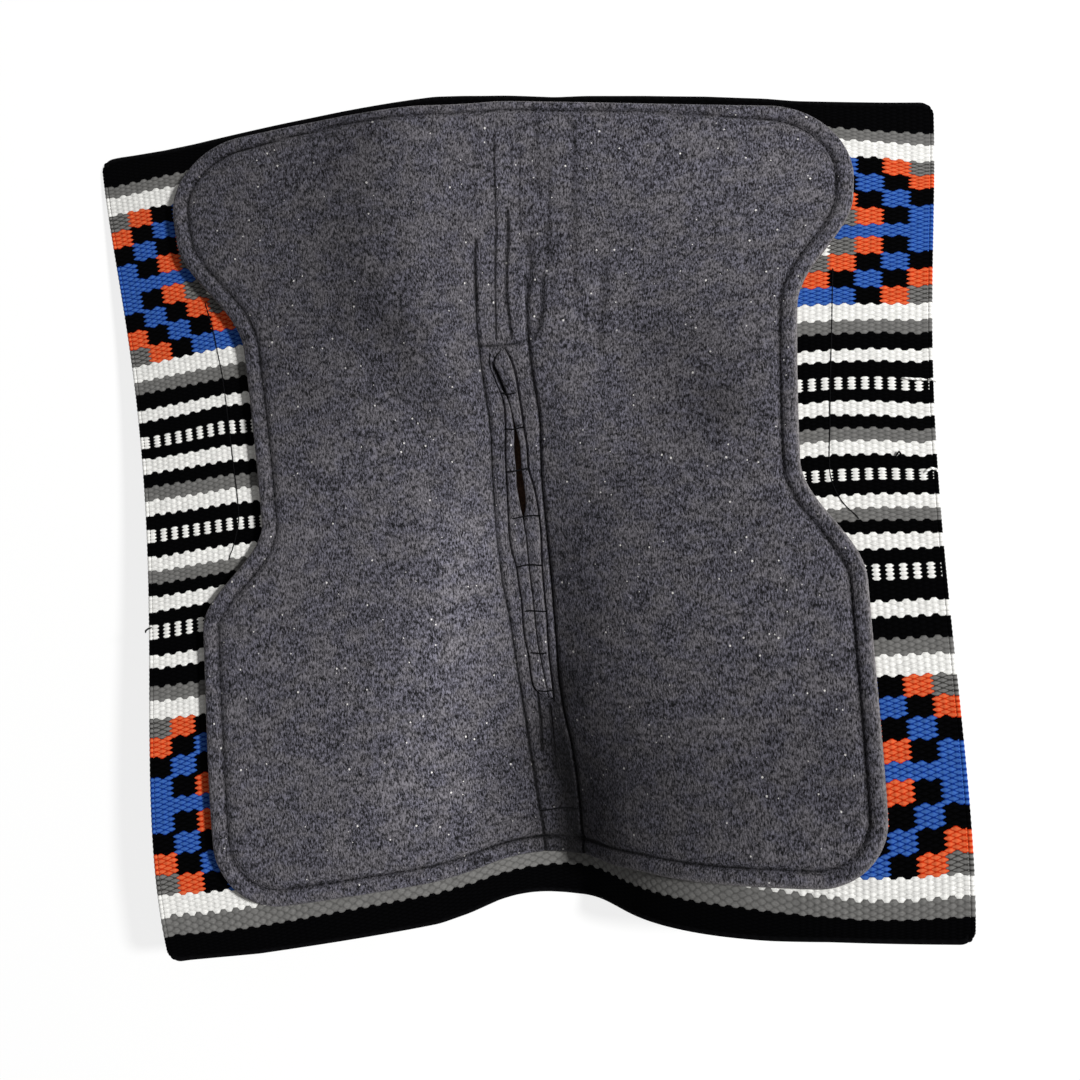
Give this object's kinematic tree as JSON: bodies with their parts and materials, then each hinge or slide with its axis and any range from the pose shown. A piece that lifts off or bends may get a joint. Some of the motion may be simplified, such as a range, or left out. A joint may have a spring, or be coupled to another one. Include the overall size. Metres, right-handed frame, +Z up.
{
  "type": "western saddle pad",
  "caption": "Square woven wool saddle blanket with a waisted charcoal felt lining, sewn round its edge and along a slit spine strip, lying felt side up.",
  "frame": {"origin": "middle of the pad's bounding box, on the floor that it lies on", "axes": "+Z up through the felt lining, +Y towards the front end, +X to the right seen from above"},
  "size_m": [0.8643, 0.8452, 0.1555],
  "materials": {
    "wool_weave": "weft-faced wool weave in black, grey, white, blue and orange bands",
    "charcoal_felt": "pressed wool felt, heathered, pale fibres",
    "core_felt": "coarse pressed felt",
    "black_cord": "twisted wool cord",
    "black_thread": "waxed thread"
  },
  "bodies": {
    "root": {"woven_blanket": "wool_weave", "selvedge_cord_left": "wool_weave", "selvedge_cord_right": "wool_weave", "felt_lining_left": "charcoal_felt", "felt_lining_right": "charcoal_felt", "spine_strip": "charcoal_felt", "slit_lip_left": "charcoal_felt", "slit_lip_right": "charcoal_felt", "inner_core_felt": "core_felt", "header_cord_front": "black_cord", "header_cord_rear": "black_cord", "corner_knot_front_left": "black_cord", "corner_knot_front_right": "black_cord", "corner_knot_rear_left": "black_cord", "corner_knot_rear_right": "black_cord", "perimeter_stitch": "black_thread", "bridge_stitch_1": "black_thread", "bridge_stitch_2": "black_thread", "bridge_stitch_3": "black_thread", "bridge_stitch_4": "black_thread", "bridge_stitch_5": "black_thread", "bridge_stitch_6": "black_thread", "bridge_stitch_7": "black_thread", "bridge_stitch_8": "black_thread", "end_bar_stitch": "black_thread", "waist_stitch_left": "black_thread", "waist_stitch_right": "black_thread"}
  },
  "joints": []
}
